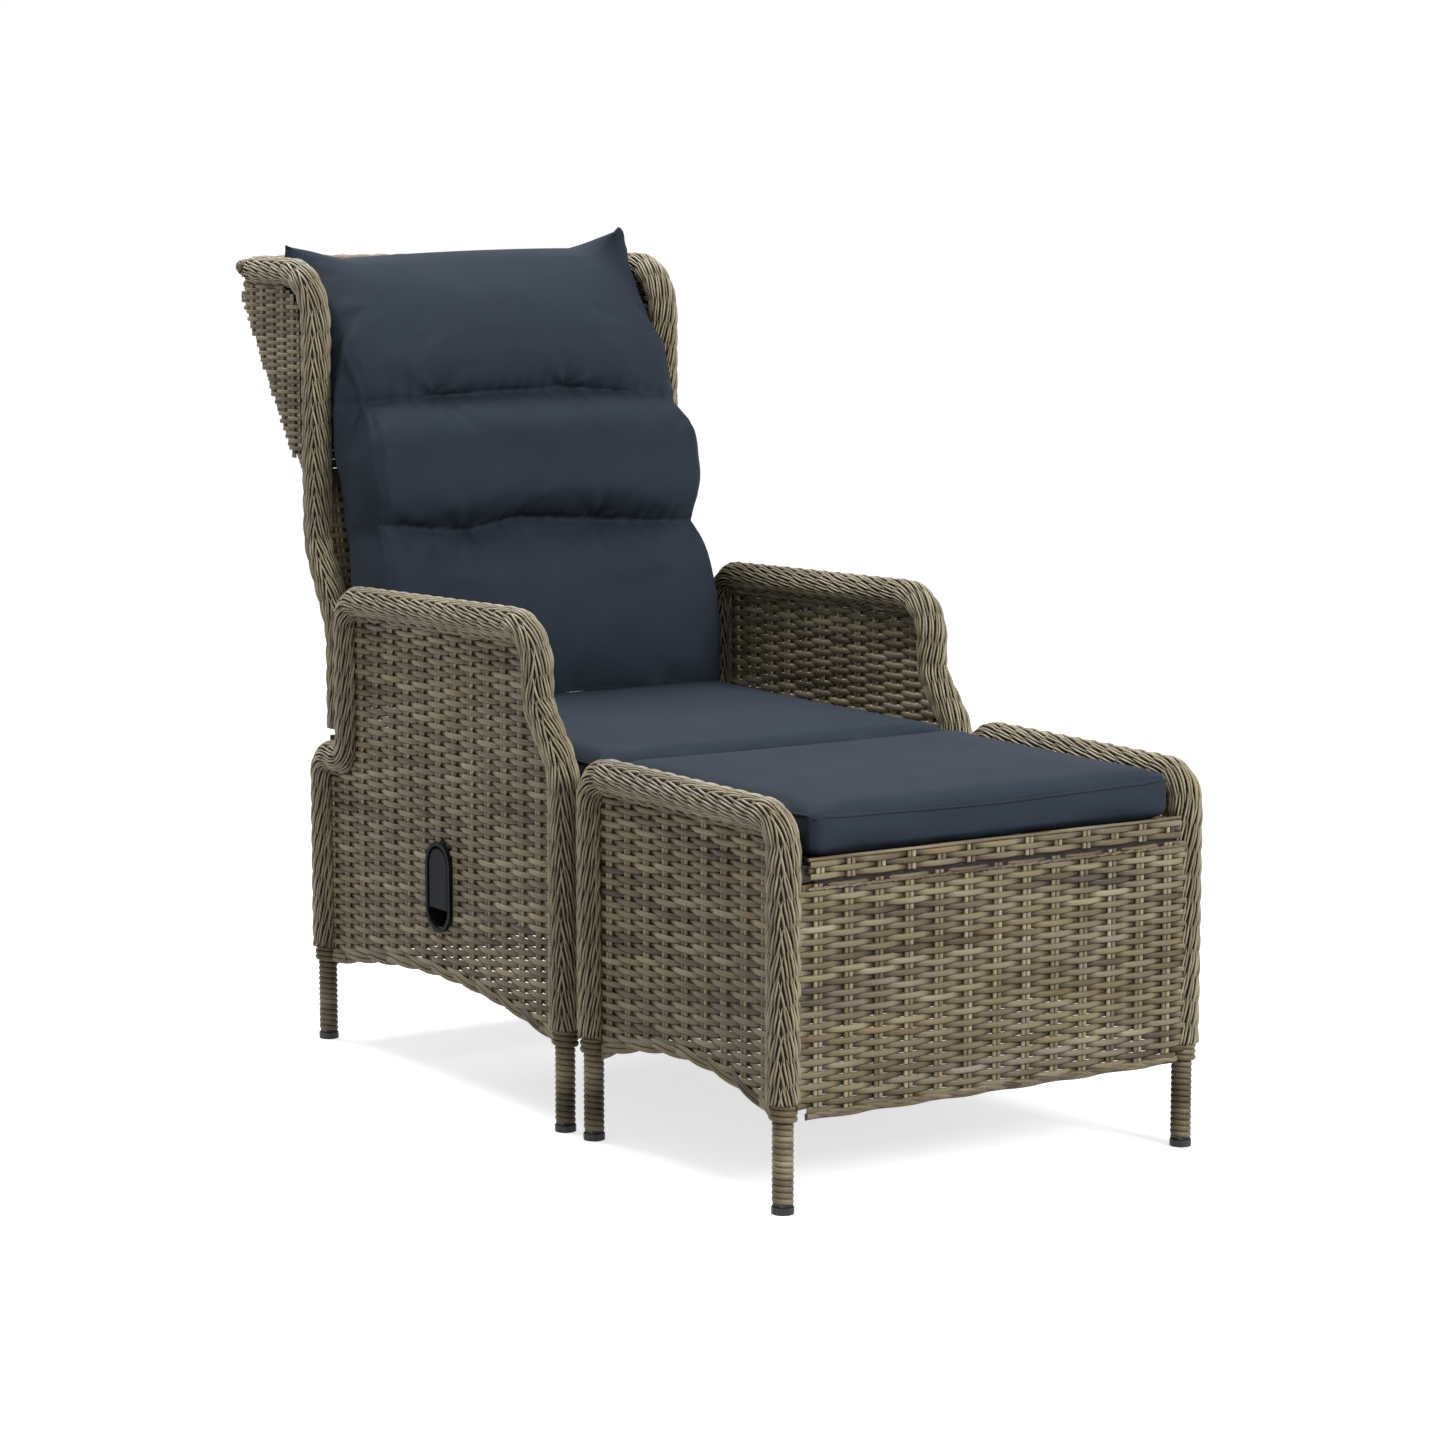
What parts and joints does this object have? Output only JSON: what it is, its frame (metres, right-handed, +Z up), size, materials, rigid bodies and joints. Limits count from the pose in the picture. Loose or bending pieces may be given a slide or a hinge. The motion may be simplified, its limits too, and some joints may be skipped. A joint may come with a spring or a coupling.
{
  "type": "reclining garden armchair",
  "caption": "Wicker garden armchair with a winged reclining back, boxed arms, thick cushions and a matching footstool; a handle in the side frees the gas spring under the seat.",
  "frame": {"origin": "on the floor, under the middle of the chair and footstool's joint bounding box", "axes": "+Y to the rear of the chair, the footstool at -Y; +X to the sitter's left; +Z up"},
  "size_m": [0.606, 1.318, 1],
  "materials": {
    "wicker": "mottled brown and beige half-round plastic cane, satin",
    "frame_steel": "dark brown powder coat",
    "bare_steel": "zinc plated",
    "chrome_rod": "polished",
    "spring_black": "black, half gloss",
    "black_plastic": "black, fine grained",
    "cable_rubber": "black sheath",
    "seat_fabric": "slate blue close weave",
    "back_fabric": "slate blue close weave",
    "stool_fabric": "slate blue close weave"
  },
  "bodies": {
    "chair_base": {"side_frame_right": "frame_steel", "side_frame_left": "frame_steel", "arm_roll_right": "wicker", "arm_roll_left": "wicker", "side_panel_right": "wicker", "side_panel_left": "wicker", "front_panel": "wicker", "rear_panel": "wicker", "front_rail_wrap": "wicker", "seat_cross_tubes": "frame_steel", "seat_rails": "frame_steel", "seat_slats": "frame_steel", "seat_deck": "wicker", "leg_wraps": "wicker", "leg_collars": "wicker", "foot_glides": "black_plastic", "hinge_plates": "frame_steel", "hinge_bolts": "bare_steel", "spring_bracket": "frame_steel", "spring_pin": "bare_steel", "lever_housing": "black_plastic", "lever_pin": "bare_steel", "release_cable": "cable_rubber", "seat_cushion": "seat_fabric"},
    "release_lever": {"release_lever": "black_plastic"},
    "gas_spring_rod": {"gas_spring_rod": "chrome_rod"},
    "gas_spring_cylinder": {"gas_spring_cylinder": "spring_black"},
    "backrest": {"back_side_tube_right": "frame_steel", "back_side_tube_left": "frame_steel", "back_cross_tubes": "frame_steel", "back_roll_right": "wicker", "back_roll_left": "wicker", "back_top_roll": "wicker", "wing_panel_right": "wicker", "wing_panel_left": "wicker", "back_panel_lower": "wicker", "back_panel_upper": "wicker", "recline_lever": "frame_steel", "recline_pin": "bare_steel", "back_cushion": "back_fabric"},
    "footstool": {"stool_frame_right": "frame_steel", "stool_frame_left": "frame_steel", "stool_roll_right": "wicker", "stool_roll_left": "wicker", "stool_side_panel_right": "wicker", "stool_side_panel_left": "wicker", "stool_front_panel": "wicker", "stool_rear_panel": "wicker", "stool_rail_wraps": "wicker", "stool_cross_tubes": "frame_steel", "stool_seat_rails": "frame_steel", "stool_slats": "frame_steel", "stool_deck": "wicker", "stool_leg_wraps": "wicker", "stool_leg_collars": "wicker", "stool_foot_glides": "black_plastic", "stool_cushion": "stool_fabric"}
  },
  "joints": [
    {"name": "recline", "type": "hinge", "parent": "chair_base", "child": "backrest", "pos_m": [0, 0.396, 0.44], "axis": [-1, 0, 0], "range_deg": [0, 35]},
    {"name": "gas_spring_tilt", "type": "hinge", "parent": "chair_base", "child": "gas_spring_rod", "pos_m": [0, 0.12122, 0.25], "axis": [1, 0, 0], "range_deg": [0, 7]},
    {"name": "gas_spring_stroke", "type": "slide", "parent": "gas_spring_rod", "child": "gas_spring_cylinder", "axis": [0, -0.8966, -0.4428], "range_m": [0, 0.02]},
    {"name": "handle_pull", "type": "hinge", "parent": "chair_base", "child": "release_lever", "pos_m": [-0.283, 0.097, 0.284], "axis": [0, 1, 0], "range_deg": [0, 25], "stiffness_Nm_per_rad": 0.05},
    {"name": "stool_slide", "type": "slide", "parent": "chair_base", "child": "footstool", "axis": [0, -1, 0], "range_m": [0, 0.45]}
  ],
  "couplings": [
    {"joint": "gas_spring_tilt", "follows": "recline", "ratio": 0.18538},
    {"joint": "gas_spring_stroke", "follows": "recline", "m_per_rad": 0.031461}
  ]
}
